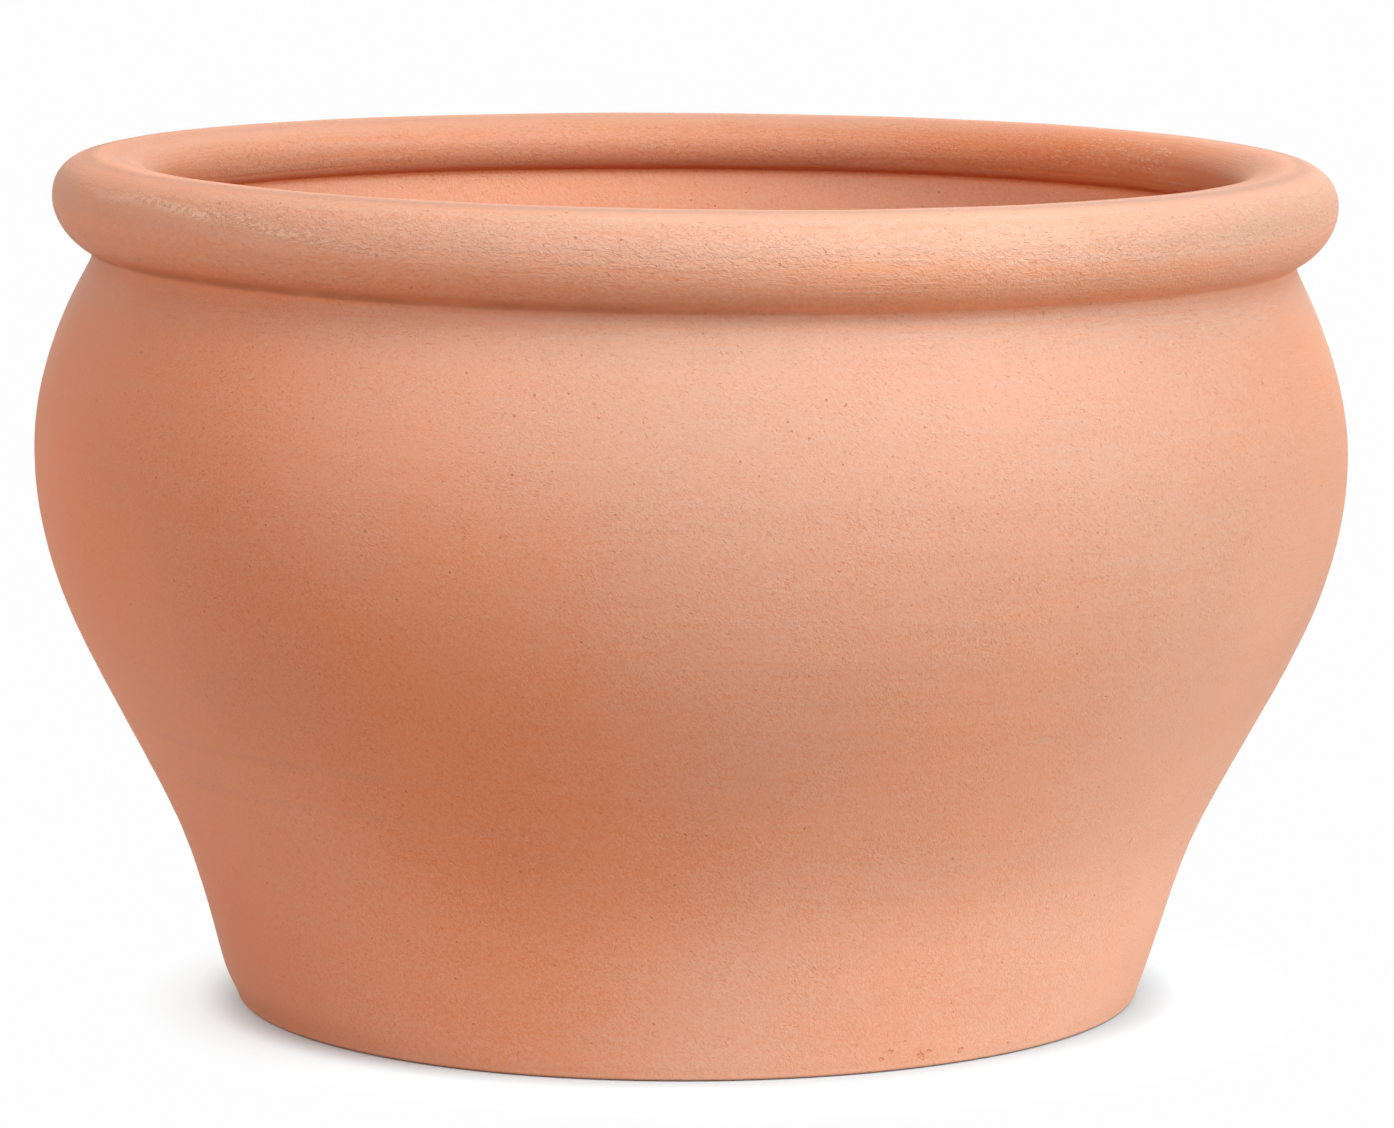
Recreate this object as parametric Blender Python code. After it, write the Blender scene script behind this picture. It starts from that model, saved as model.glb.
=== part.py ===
"""Terracotta planter: a wide, round-bellied clay bowl on a narrower foot, with a thick rolled rim.

The clay is built up the way a potter builds a pot of this width. A slab is the floor, a ring of wall is
luted onto the slab, a coil is pressed into the corner inside, a second ring of wall is luted onto the
first at the waist, and the rolled rim is luted onto its bevelled top edge. Each seam is cut to a key or a
bevel that centres the piece above, and a thin line is left in it for the slip that joins the two.

Sizes are in metres, +Z is up, and the origin is the centre of the underside.
"""

import math

import bmesh
import bpy

# The outer line of the wall runs through five stations: foot, waist, flank, belly and neck. A flare is how
# much the radius grows for each metre of height.
FOOT_RADIUS = 0.1389
FOOT_FLARE = 0.367
FOOT_ROUND = 0.0030  # radius of the rounded bottom edge
WAIST_RADIUS = 0.1579
WAIST_HEIGHT = 0.0569
WAIST_FLARE = 0.469
FLANK_RADIUS = 0.1889
FLANK_HEIGHT = 0.1177
FLANK_FLARE = 0.436
BELLY_RADIUS = 0.2000
BELLY_HEIGHT = 0.1680
NECK_RADIUS = 0.1831
NECK_HEIGHT = 0.2249
NECK_FLARE = -0.548
NECK_BAND = 0.0030  # upright band from the neck up to the crease under the rim
WALL_THICKNESS = 0.0120

# The rolled rim, from the crease under its outside, over the crest, to the crease under its inside.
RIM_OVERHANG = 0.0119  # outer crease to the widest point
RIM_UNDER_REACH = 0.0188  # half width of the ellipse that its underside is part of
RIM_HEIGHT = 0.0290  # outer crease to crest
RIM_BULGE_HEIGHT = 0.0163  # outer crease up to the widest point
CREST_SET_IN = 0.0023  # how far the crest lies inside the neck
LIP_OVERHANG = 0.0075  # inner crease to the narrowest point of the mouth
LIP_HEIGHT = 0.0173  # inner crease to crest
LIP_BULGE_DROP = 0.0088  # crest down to the narrowest point
RIM_SQUARENESS = 2.24  # 2 is an ellipse, more is squarer

# The floor, its drain hole and the coil in its corner.
FLOOR_THICKNESS = 0.0140
DRAIN_RADIUS = 0.0140
DRAIN_ROUND = 0.0020
COIL_RADIUS = 0.0120  # of the hollow that the coil rounds the corner to
COIL_EDGE = 0.0012  # thickness of the coil at its two thin edges

# The seams between the pieces.
LUTING_HEIGHT = 0.0780  # of the seam between the two rings of wall
SLIP = 0.0004  # line of slip between two pieces
KEY_WIDTH = 0.0050
KEY_DEPTH = 0.0025

# Fineness of the turned surfaces.
SEGMENTS = 64
LOWER_STEPS = 8  # from the slab to the luting seam
BELLY_STEPS = 7  # from the luting seam to the belly
SHOULDER_STEPS = 6  # from the belly to the neck
QUARTER_STEPS = 5  # on each quarter of the rolled rim
COIL_STEPS = 5
COIL_BACK_STEPS = 2
ROUND_STEPS = 3

CREASE_HEIGHT = NECK_HEIGHT + NECK_BAND
CREST_HEIGHT = CREASE_HEIGHT + RIM_HEIGHT
LEDGE_HEIGHT = FLOOR_THICKNESS - COIL_EDGE  # the low band round the floor that carries wall and coil


def hermite(share, start, end, start_slope, end_slope, span):
    """The cubic through two ends with the given slopes, and its own slope, at a share of the span."""
    s, t = share, 1.0 - share
    value = (
        (1 + 2 * s) * t * t * start
        + s * t * t * span * start_slope
        + s * s * (3 - 2 * s) * end
        - s * s * t * span * end_slope
    )
    slope = (
        6 * s * t * (end - start) / span
        + t * (1 - 3 * s) * start_slope
        + s * (3 * s - 2) * end_slope
    )
    return value, slope


def outer_line(height):
    """Radius of the outer surface at a height, and its flare there."""
    stations = [
        (0.0, FOOT_RADIUS, FOOT_FLARE),
        (WAIST_HEIGHT, WAIST_RADIUS, WAIST_FLARE),
        (FLANK_HEIGHT, FLANK_RADIUS, FLANK_FLARE),
        (BELLY_HEIGHT, BELLY_RADIUS, 0.0),
        (NECK_HEIGHT, NECK_RADIUS, NECK_FLARE),
    ]
    lower, upper = stations[0], stations[1]
    for lower, upper in zip(stations, stations[1:]):
        if height <= upper[0]:
            break
    span = upper[0] - lower[0]
    return hermite((height - lower[0]) / span, lower[1], upper[1], lower[2], upper[2], span)


def wall_point(height, depth=0.0):
    """The point, as (radius, height), that lies in the wall at a depth square to the outer surface."""
    radius, flare = outer_line(height)
    length = math.hypot(1.0, flare)
    return radius - depth / length, height + depth * flare / length


def inner_radius(height):
    """Radius of the inner surface at a height: the outer line moved square to itself by the wall."""
    low, high = 0.0, NECK_HEIGHT
    for _ in range(40):
        middle = (low + high) / 2
        if wall_point(middle, WALL_THICKNESS)[1] < height:
            low = middle
        else:
            high = middle
    return wall_point(low, WALL_THICKNESS)[0]


def levels(low, high, steps):
    """Evenly spaced heights, both ends included."""
    return [low + (high - low) * step / steps for step in range(steps + 1)]


def keyed_seam(outer, inner, gap):
    """The line across the wall from its outer to its inner surface, with a V-shaped key at its middle.

    The piece below takes it with no gap and has the groove. The piece above takes it moved up by the gap
    and has the ridge.
    """
    length = math.dist(outer, inner)
    along = ((inner[0] - outer[0]) / length, (inner[1] - outer[1]) / length)
    up = (along[1], -along[0])
    offsets = [
        (0.0, 0.0),
        ((length - KEY_WIDTH) / 2, 0.0),
        (length / 2, -KEY_DEPTH),
        ((length + KEY_WIDTH) / 2, 0.0),
        (length, 0.0),
    ]
    return [
        (
            outer[0] + along[0] * across + up[0] * (rise + gap),
            outer[1] + along[1] * across + up[1] * (rise + gap),
        )
        for across, rise in offsets
    ]


def arc(centre, reach, rise, start, steps, power=2.0, turned=90.0):
    """Part of a superellipse from the angle start on, in degrees, without its first point."""
    points = []
    for step in range(1, steps + 1):
        angle = math.radians(start + turned * step / steps)
        across, along = math.cos(angle), math.sin(angle)
        radius = centre[0] + reach * math.copysign(abs(across) ** (2 / power), across)
        height = centre[1] + rise * math.copysign(abs(along) ** (2 / power), along)
        points.append((radius, height))
    return points


def slab_seam():
    """The outer and inner end of the seam between the slab's ledge and the lower wall."""
    return (outer_line(LEDGE_HEIGHT)[0], LEDGE_HEIGHT), (inner_radius(LEDGE_HEIGHT), LEDGE_HEIGHT)


def waist_seam():
    """The outer and inner end of the seam between the two rings of wall, square to the wall."""
    return wall_point(LUTING_HEIGHT), wall_point(LUTING_HEIGHT, WALL_THICKNESS)


def rim_bevel(gap):
    """The outer and inner end of the bevel between upper wall and rim, moved up square to it by a gap."""
    outer = (NECK_RADIUS, CREASE_HEIGHT)
    inner = (wall_point(NECK_HEIGHT, WALL_THICKNESS)[0], CREST_HEIGHT - LIP_HEIGHT)
    length = math.dist(outer, inner)
    lift = ((inner[1] - outer[1]) / length * gap, (outer[0] - inner[0]) / length * gap)
    return [(end[0] + lift[0], end[1] + lift[1]) for end in (outer, inner)]


def coil_corner():
    """The radius where the coil's hollow meets the floor, and the height where it meets the wall."""
    top = FLOOR_THICKNESS + COIL_RADIUS
    return inner_radius(top) - SLIP - COIL_EDGE - COIL_RADIUS, top


def clay(name, colour, roughness):
    """A plain fired-clay material."""
    material = bpy.data.materials.new(name)
    material.use_nodes = True
    shader = material.node_tree.nodes["Principled BSDF"]
    shader.inputs["Base Color"].default_value = (*colour, 1.0)
    shader.inputs["Roughness"].default_value = roughness
    shader.inputs["Metallic"].default_value = 0.0
    return material


def turn(name, outline, seat, material):
    """Turns a closed outline of (radius, height) points about Z into an object whose origin is at its seat."""
    shape = bmesh.new()
    corners = [shape.verts.new((radius, 0.0, height - seat)) for radius, height in outline]
    for first, second in zip(corners, corners[1:] + corners[:1]):
        shape.edges.new((first, second))
    bmesh.ops.spin(
        shape,
        geom=shape.verts[:] + shape.edges[:],
        cent=(0.0, 0.0, 0.0),
        axis=(0.0, 0.0, 1.0),
        angle=2 * math.pi,
        steps=SEGMENTS,
        use_merge=True,
    )
    bmesh.ops.recalc_face_normals(shape, faces=shape.faces[:])
    mesh = bpy.data.meshes.new(name)
    shape.to_mesh(mesh)
    shape.free()
    mesh.shade_smooth()
    mesh.set_sharp_from_angle(angle=math.radians(35))
    mesh.materials.append(material)
    piece = bpy.data.objects.new(name, mesh)
    piece.location = (0.0, 0.0, seat)
    bpy.context.scene.collection.objects.link(piece)
    return piece


def base_slab():
    """The floor: a round slab with a drain hole, and a low ledge round it with a key groove."""
    floor_edge = coil_corner()[0] - SLIP
    foot_corner = (outer_line(FOOT_ROUND)[0] - FOOT_ROUND, FOOT_ROUND)
    drain_corner = (DRAIN_RADIUS + DRAIN_ROUND, FLOOR_THICKNESS - DRAIN_ROUND)
    outline = [(DRAIN_RADIUS, DRAIN_ROUND), (drain_corner[0], 0.0), (foot_corner[0], 0.0)]
    outline += arc(foot_corner, FOOT_ROUND, FOOT_ROUND, -90, ROUND_STEPS)
    outline += keyed_seam(*slab_seam(), 0.0)
    outline += [(floor_edge, LEDGE_HEIGHT), (floor_edge, FLOOR_THICKNESS)]
    outline += [(drain_corner[0], FLOOR_THICKNESS)]
    outline += arc(drain_corner, DRAIN_ROUND, DRAIN_ROUND, 90, ROUND_STEPS)
    return turn("base_slab", outline, 0.0, clay("slab_clay", (0.60, 0.27, 0.15), 0.90))


def corner_coil():
    """The coil pressed into the corner between floor and wall, hollowed to a round by the thumb."""
    floor_side, top = coil_corner()
    bottom = LEDGE_HEIGHT + SLIP
    back = [(inner_radius(height) - SLIP, height) for height in levels(bottom, top, COIL_BACK_STEPS)]
    outline = [(floor_side, bottom)] + back + [(floor_side + COIL_RADIUS, top)]
    outline += arc((floor_side, top), COIL_RADIUS, -COIL_RADIUS, 0, COIL_STEPS)
    return turn("corner_coil", outline, bottom, clay("coil_clay", (0.62, 0.28, 0.16), 0.90))


def lower_wall():
    """The first ring of wall, from the slab's ledge up to the waist."""
    bottom = keyed_seam(*slab_seam(), SLIP)
    top = keyed_seam(*waist_seam(), 0.0)
    outside = [wall_point(height) for height in levels(LEDGE_HEIGHT, LUTING_HEIGHT, LOWER_STEPS)[1:-1]]
    heights = levels(LEDGE_HEIGHT, top[-1][1], LOWER_STEPS)[1:-1]
    inside = [(inner_radius(height), height) for height in heights]
    outline = bottom[::-1] + outside + top + inside[::-1]
    return turn("lower_wall", outline, LEDGE_HEIGHT + SLIP, clay("lower_wall_clay", (0.62, 0.28, 0.16), 0.85))


def upper_wall():
    """The second ring of wall: the belly and the shoulder, up to the bevel that carries the rim."""
    bottom = keyed_seam(*waist_seam(), SLIP)
    belly = levels(LUTING_HEIGHT, BELLY_HEIGHT, BELLY_STEPS)[1:]
    shoulder = levels(BELLY_HEIGHT, NECK_HEIGHT, SHOULDER_STEPS)[1:]
    outside = [wall_point(height) for height in belly + shoulder]
    inside = [wall_point(height, WALL_THICKNESS) for height in belly + shoulder]
    outline = bottom[::-1] + outside + rim_bevel(0.0) + inside[::-1]
    return turn("upper_wall", outline, LUTING_HEIGHT, clay("upper_wall_clay", (0.66, 0.31, 0.19), 0.85))


def rim_roll():
    """The thick rolled rim. Its underside is the bevel that runs from the outer up to the inner crease."""
    outer_crease, inner_crease = rim_bevel(SLIP)
    widest = NECK_RADIUS + RIM_OVERHANG
    under_centre = widest - RIM_UNDER_REACH
    under_angle = math.acos((outer_crease[0] - under_centre) / RIM_UNDER_REACH)
    bulge = CREASE_HEIGHT + RIM_BULGE_HEIGHT
    under_rise = (bulge - outer_crease[1]) / math.sin(under_angle)
    crest = NECK_RADIUS - CREST_SET_IN
    narrow = CREST_HEIGHT - LIP_BULGE_DROP
    mouth = inner_crease[0] - LIP_OVERHANG
    steps, power, turned = QUARTER_STEPS, RIM_SQUARENESS, math.degrees(under_angle)
    outline = [outer_crease]
    outline += arc((under_centre, bulge), RIM_UNDER_REACH, under_rise, -turned, steps, turned=turned)
    outline += arc((crest, bulge), widest - crest, CREST_HEIGHT - bulge, 0, steps, power)
    outline += arc((crest, narrow), crest - mouth, LIP_BULGE_DROP, 90, steps, power)
    outline += arc((inner_crease[0], narrow), LIP_OVERHANG, narrow - inner_crease[1], 180, steps)
    return turn("rim_roll", outline, outer_crease[1], clay("rim_clay", (0.68, 0.33, 0.20), 0.82))


def main():
    for item in list(bpy.data.objects):
        bpy.data.objects.remove(item)
    planter = bpy.data.objects.new("planter", None)
    bpy.context.scene.collection.objects.link(planter)
    for piece in (base_slab(), corner_coil(), lower_wall(), upper_wall(), rim_roll()):
        piece.parent = planter


main()
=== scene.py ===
"""Looks of the terracotta planter: its turned clay, the floor it stands on, the light and the view.

Each of the five clay pieces in the frame is replaced by the same piece with a finer skin. One outline runs
round the whole wall of the pot, is cut where the potter joined the pieces, and each part of it is turned
about the axis by one geometry node tree. Sizes are in metres and +Z is up.
"""

import math

import bmesh
import bpy
import numpy as np
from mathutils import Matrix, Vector


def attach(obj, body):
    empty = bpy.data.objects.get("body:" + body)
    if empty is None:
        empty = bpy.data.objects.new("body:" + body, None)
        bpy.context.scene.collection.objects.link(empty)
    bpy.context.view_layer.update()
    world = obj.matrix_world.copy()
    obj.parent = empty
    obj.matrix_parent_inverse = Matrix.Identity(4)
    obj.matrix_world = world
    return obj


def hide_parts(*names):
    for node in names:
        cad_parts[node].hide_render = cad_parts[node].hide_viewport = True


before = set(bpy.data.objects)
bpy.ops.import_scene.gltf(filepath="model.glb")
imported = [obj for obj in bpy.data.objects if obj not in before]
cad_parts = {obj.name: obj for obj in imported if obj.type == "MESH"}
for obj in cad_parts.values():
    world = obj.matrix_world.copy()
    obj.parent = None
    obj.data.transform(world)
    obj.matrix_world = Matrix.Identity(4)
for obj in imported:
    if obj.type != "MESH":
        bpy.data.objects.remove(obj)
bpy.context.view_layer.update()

# The outer line of the wall, as in the part: each station is a height, a radius and a flare.
FOOT = (0.0, 0.1389, 0.367)
WAIST = (0.0569, 0.1579, 0.469)
FLANK = (0.1177, 0.1889, 0.436)
BELLY = (0.1680, 0.2000, 0.0)
NECK = (0.2249, 0.1831, -0.548)
CREASE_HEIGHT = 0.2279
CREASE_RADIUS = 0.1829
CREASE_FLARE = 0.12
WALL_THICKNESS = 0.0120
FOOT_ROUND = 0.0014

# The rolled rim.
RIM_WIDEST = (0.1950, 0.2442)
RIM_UNDER_REACH = 0.0188
CREST = (0.1808, 0.2569)
MOUTH = (0.1651, 0.2481)
INNER_CREASE = (0.1726, 0.2396)
RIM_SQUARENESS = 2.24
RIM_UNDER_SQUARENESS = 1.86

# The floor, the drain hole, the coil in the corner and the seams.
FLOOR_THICKNESS = 0.0140
DRAIN_RADIUS = 0.0140
DRAIN_ROUND = 0.0020
COIL_RADIUS = 0.0120
COIL_EDGE = 0.0012
LEDGE_HEIGHT = FLOOR_THICKNESS - COIL_EDGE
LUTING_HEIGHT = 0.0780
KEY_WIDTH = 0.0050
KEY_DEPTH = 0.0025

# How far hand work is from a true turning.
LEAN = 0.0118  # of the axis, to +X, over a foot that stays flat
RIM_SHIFT = 0.0004
OUT_OF_ROUND = 0.0012
RIM_WAVE = (0.00048, -0.69, 0.00038, 0.72)  # height and phase of its one-wave and two-wave parts
FOOT_SCUFF = 0.0013  # how far the foot is worn in on its left
SCUFF_SIDE = (-0.35, -0.95)  # cosine of the turn from the right side, where the scuff starts and is full
SCUFF_LEVELS = (0.011, 0.0)
SCUFF_REACH = 0.010
OVAL_PHASE = 0.9
THREE_PHASE = 2.1
# Heights at which the oval, the wave, the shift and the tipping to one side start and are full.
OVAL_LEVELS = (0.02, 0.20)
WAVE_LEVELS = (0.215, 0.245)
SHIFT_LEVELS = (0.20, 0.24)
TIP_LEVELS = (0.0, 0.03)
RING_DRIFT = 5.0  # how fast the throwing rings change round the pot

# Painted light and shade that runs round the pot, in bands along the skin. The crease, the underside of the
# roll and the inside are lightened against their shade, the crest is darkened, the lit face of the roll is
# paler, and the inner crease and the deep of the roll are deeper. For each band: where along the skin it
# starts, is full, starts to end and is gone, and by how much the clay is lighter and paler there.
SKIN_TONES = {
    "foot edge": (-0.100, -0.050, 0.128, 0.142, 0.05, 0.11),
    "neck": (0.3450, 0.3620, 0.3620, 0.3660, -0.10, 0.24),
    "below the crease": (0.3570, 0.3645, 0.3652, 0.3670, -0.06, -0.30),
    "crease": (0.3638, 0.3656, 0.3664, 0.3722, 0.36, -0.02),
    "deep of the roll": (0.3656, 0.3690, 0.3690, 0.3836, 0.15, -0.45),
    "under the roll": (0.3656, 0.3700, 0.3800, 0.3900, 0.24, 0.04),
    "face of the roll": (0.3800, 0.3900, 0.3980, 0.4040, 0.04, 0.54),
    "crest": (0.4010, 0.4050, 0.4050, 0.4090, -0.24, 0.06),
    "inside of the roll": (0.4080, 0.4160, 0.4320, 0.4380, -0.17, -0.02),
    "inner crease": (0.4355, 0.4390, 0.4400, 0.4435, -0.09, -1.18),
    "inside": (0.4380, 0.4420, 1.0000, 1.1000, 0.07, 0.27),
}

# The radius that an outline is turned on, and the number of steps round the pot for each piece.
PATH_RADIUS = 0.15
STEPS_ROUND = {"slab": 720, "coil": 560, "lower_wall": 760, "upper_wall": 570, "rim": 800}
SHARP_FROM = 40.0  # degrees

# The distance between the points of the outline, from the underside round to the drain hole and in the seams.
STEP = {
    "underside": 0.0040, "foot edge": 0.0005, "slab": 0.0008, "lower wall": 0.0012, "upper wall": 0.0017,
    "neck": 0.0005, "rim": 0.00078, "throat": 0.0010, "inside": 0.0045, "inside low": 0.0040, "coil": 0.0012,
    "floor": 0.0050, "drain edge": 0.0006, "drain": 0.0015, "bevel": 0.0040, "coil back": 0.0035,
}
NECK_STARTS = 0.2150
ARC_DEGREES = 57.3  # degrees of an arc that is as long as its radius
RELIEF_STARTS = 0.012  # how far up the foot the rings and lumps reach their full depth
RELIEF_INSIDE = 0.25  # and how much of it they have at least inside
CREASE_STEPS = 6.0  # points of the skin over which the outside goes over into the inside

# Colours of the clay, before the light. The pale and deep clays also carry painted light and shade, and the
# clays of hollows, of the shaded crease and of the pits are painted shade.
CLAY = (0.567, 0.232, 0.128, 1.0)
PALE_CLAY = (0.518, 0.289, 0.200, 1.0)
DEEP_CLAY = (0.616, 0.175, 0.057, 1.0)
# Painted shade in hollows: the chips and the lines in the inner crease.
HOLLOW_SHADE_CLAY = (0.620, 0.200, 0.070, 1.0)
SHADED_CLAY = (0.460, 0.150, 0.062, 1.0)
# Painted shade in the pits.
PIT_SHADE_CLAY = (0.340, 0.115, 0.050, 1.0)
LIME = (0.700, 0.470, 0.350, 1.0)
CHALK = (0.680, 0.440, 0.310, 1.0)
GREY_RUB = (0.400, 0.205, 0.140, 1.0)

# Painted light and shade, with some uneven tone besides. These are places where the clay is made lighter or
# darker, paler or deeper. It is paler mostly where light falls, deeper where shade falls and lightened on the
# shaded left, and it is pale at the ends of the neck and of the crease as painted reflection. Columns:
# degrees round the pot from its right side, height, reach, lighter by and paler by.
WALL_LIGHT_AND_TONE_MARKS = {
    "left flank": (-170.0, 0.110, 0.150, 0.27, -0.66),
    "front low belly": (-112.0, 0.100, 0.130, -0.01, -0.63),
    "right flank": (-30.0, 0.060, 0.170, 0.21, 0.27),
    "right shoulder": (-45.0, 0.195, 0.170, -0.16, 0.40),
    "front shoulder": (-92.0, 0.200, 0.130, -0.09, 0.79),
    "left shoulder": (-135.0, 0.175, 0.110, -0.09, -0.16),
    "left foot": (-160.0, 0.020, 0.100, -0.09, -0.61),
    "front foot": (-85.0, 0.010, 0.080, 0.04, 0.41),
    "back shoulder": (70.0, 0.185, 0.140, -0.05, 0.40),
    "back low belly": (112.0, 0.090, 0.130, 0.02, -0.55),
    "back flank": (30.0, 0.130, 0.100, 0.06, -0.35),
    "back foot": (50.0, 0.015, 0.100, 0.04, 0.30),
    "right foot": (-48.0, 0.018, 0.075, -0.01, 0.20),
    "right waist": (-62.0, 0.108, 0.085, 0.04, -0.19),
    "high right shoulder": (-50.0, 0.205, 0.065, 0.02, 0.12),
    "high left shoulder": (-118.0, 0.200, 0.070, 0.03, 0.19),
    "left low flank": (-126.0, 0.055, 0.070, 0.08, 0.01),
    # Painted reflection: the white light that grazes the two ends of the neck.
    "left end of the neck": (-176.0, 0.2215, 0.048, 0.08, 0.62),
    "right end of the neck": (-4.0, 0.2215, 0.048, 0.06, 0.45),
}
RIM_LIGHT_AND_TONE_MARKS = {
    # Painted reflection at the two ends of the crease.
    "left end of the crease": (-176.0, 0.2270, 0.040, 0.05, 0.55),
    "right end of the crease": (-4.0, 0.2270, 0.040, 0.04, 0.42),
    "rim left": (-160.0, 0.250, 0.100, 0.06, -0.20),
    "rim front": (-95.0, 0.250, 0.130, -0.04, 0.29),
    "rim right": (-35.0, 0.250, 0.130, -0.14, 0.19),
    "rim right of the middle": (-62.0, 0.250, 0.070, 0.03, 0.18),
    "rim back": (80.0, 0.250, 0.130, 0.04, 0.25),
}
RIM_INSIDE_LIGHT_AND_TONE_MARKS = {
    "inside right": (35.0, 0.250, 0.120, 0.10, -0.58),
    "inside back": (95.0, 0.250, 0.100, 0.0, 0.13),
    "inside front": (-100.0, 0.250, 0.120, -0.04, -0.20),
}

# The surface of the clay.
CLAY_SPECULAR = 0.30
CLAY_ROUGHNESS = 0.55
GRAIN_ROUGHNESS = 0.10
LINE_ROUGHNESS = 0.05
GRAIN_LIGHT = 0.11  # how much lighter raised grain is, as a share of how much paler it is
COARSE_GRAIN = 0.000026  # its depth, where the clay wasn't wiped
SWIRL = 0.05  # how far the edges of the kiln's marks wander
PIT_SIZES = (0.04, 0.10)  # smallest and largest, as shares of the distance between pits
PIT_RAG = 0.08
PIT_WALL = (1.0, 0.55)
FLECKS = (-0.16, -0.23, 0.0, 0.45)  # where fleck starts and is full in the grain, and how much of a pit it is
FACING_EASE = 0.35
SLIP_WAVER = 0.006
STREAK_RATE = 60.0
INSIDE_STARTS = (0.408, 0.416)  # how far along the skin the rim's crest turns down into the pot

# Rings and lines of tools: how far along the skin they lie. The first have height, tint, strength and the
# width of their side, the lines of the neck a strength, and the inner ones width, height, strength and waver.
WAIST_RINGS = ((0.2049, -0.00010, GREY_RUB, 0.16, 0.45), (0.1985, 0.00008, None, 0.0, 0.55))
FLANK_RING = 0.2197
NECK_LINES = ((0.3616, 0.12), (0.3571, 0.10))
INNER_LINES = ((0.4385, 0.0010, -0.00016, 0.4, 0.0006), (0.4340, 0.0012, -0.00010, 0.3, 0.003))
CREASE_SIDE = {"facing": (-0.616, -0.788, 0.0), "facing_width": 0.42}

# Slip and lime: heights, stretches along the skin, and places as degrees round, height and reach.
NECK_SLIP_HEIGHT = 0.2130
RIM_LEDGE_HEIGHT = 0.2409
SMEAR_LEVELS = (0.3815, 0.3915)  # at its right and at its left end
SMEAR_WIDTH = 0.0060
SMEAR_PLACE = (-136.0, 0.2480, 0.105)
CHALK_LEVELS = (0.4185, 0.4320)
CHALK_PLACE = (33.0, 0.2480, 0.085)

# Chips, knocks and pits, each with its place and size.
FOOT_CHIPS = (
    ((0.0575, -0.1290, 0.0040), 0.0012),
    ((0.0600, -0.1280, 0.0062), 0.0008),
    ((0.0689, -0.1224, 0.0036), 0.0016),
    ((0.0716, -0.1210, 0.0050), 0.0011),
    ((0.0808, -0.1148, 0.0038), 0.0013),
    ((0.0640, -0.1262, 0.0090), 0.0007),
)
WALL_KNOCKS = (((0.1033, -0.1509, 0.1022), 0.0035),)
RIM_PITS = (
    ((-0.0301, -0.1908, 0.2500), 0.0006),
    ((-0.0327, -0.1834, 0.2563), 0.0005),
    ((0.0267, -0.1934, 0.2428), 0.0005),
)

# The view: one camera in front, a little above the rim, looking down by its pitch.
CAMERA_PLACE = (0.00375, -2.113, 0.4313)
CAMERA_PITCH = 8.071
CAMERA_LENS = 179.6
CAMERA_SENSOR = 36.0
CAMERA_CLIP = (0.05, 60.0)

# Square soft lamps, all at one distance from the pot's middle: degrees to the right of the camera, degrees
# up, watts and colour.
LAMP_DISTANCE = 3.0
LAMP_SIZE = 1.3
LAMP_TARGET = (0.0, 0.0, 0.14)
COOL_LIGHT = (0.88, 0.97, 1.0)
LAMPS = {
    "right key": (65.0, 30.0, 42.0, COOL_LIGHT),
    "front right": (40.0, 30.0, 47.0, COOL_LIGHT),
    "high right": (40.0, 50.0, 43.0, COOL_LIGHT),
    "low right": (65.0, 10.0, 36.0, COOL_LIGHT),
    "left fill": (-35.0, 30.0, 58.0, (1.0, 0.85, 0.79)),
    "left edge": (-65.0, 11.0, 13.0, (1.0, 0.96, 0.86)),
    "high back": (165.0, 50.0, 32.0, (0.91, 1.0, 0.95)),
    "low back": (180.0, 9.0, 60.0, (1.0, 0.96, 0.90)),
}
LAMPS_WITHOUT_GLARE = ("low back",)
WORLD_LIGHT = 0.02
BACKGROUND = 0.985
WHITE = (1.0, 1.0, 1.0, 1.0)

# The floor, a disc round the pot, and the faint shade on it. Near the pot the lamps' real shadow shows, the
# floor's glow is dimmed where the pot hides the sky from it, and a painted shade lies round a centre a little
# to the front right. Pairs are distances from the pot's axis, or from the centre of the shade, at which
# something starts and ends.
FLOOR_REACH = 14.0
FLOOR_LEVEL = -0.0002
FLOOR_SIDES = 96
FLOOR_COLOUR = (0.42, 0.455, 0.475, 1.0)
TABLE_BOUNCE = 0.48  # how much of the lamps' light the floor gives back near the pot
ROOM_BOUNCE = 0.08  # and further away
BOUNCE_FADES = (0.30, 0.50)
FLOOR_LIFT = 0.51  # how much the floor is paler than the lamps make it
LIFT_STARTS = (0.090, 0.125)
CONTACT_REACH = 0.013
CONTACT_POWER = 1.1
# Centre of the painted shade on the floor.
SHADE_CENTRE = (0.012, -0.012, 0.0)
CLOSE_SHADE = (0.128, 0.165, 0.74, 1.0)  # and how much of the lift is left at both
SHADE_FADES = (0.140, 0.182)


# Outline of the clay.


def hermite(share, start, end, start_slope, end_slope, span):
    """The cubic through two ends with the given slopes, and its own slope, at a share of the span."""
    s, t = share, 1.0 - share
    value = (1 + 2 * s) * t * t * start + s * t * t * span * start_slope
    value = value + s * s * (3 - 2 * s) * end - s * s * t * span * end_slope
    slope = 6 * s * t * (end - start) / span + t * (1 - 3 * s) * start_slope + s * (3 * s - 2) * end_slope
    return value, slope


def outer_line(height):
    """Radius of the outer surface at a height, and its flare there."""
    stations = [FOOT, WAIST, FLANK, BELLY, NECK, (CREASE_HEIGHT, CREASE_RADIUS, CREASE_FLARE)]
    lower, upper = stations[0], stations[1]
    for lower, upper in zip(stations, stations[1:]):
        if height <= upper[0]:
            break
    span = upper[0] - lower[0]
    return hermite((height - lower[0]) / span, lower[1], upper[1], lower[2], upper[2], span)


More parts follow.
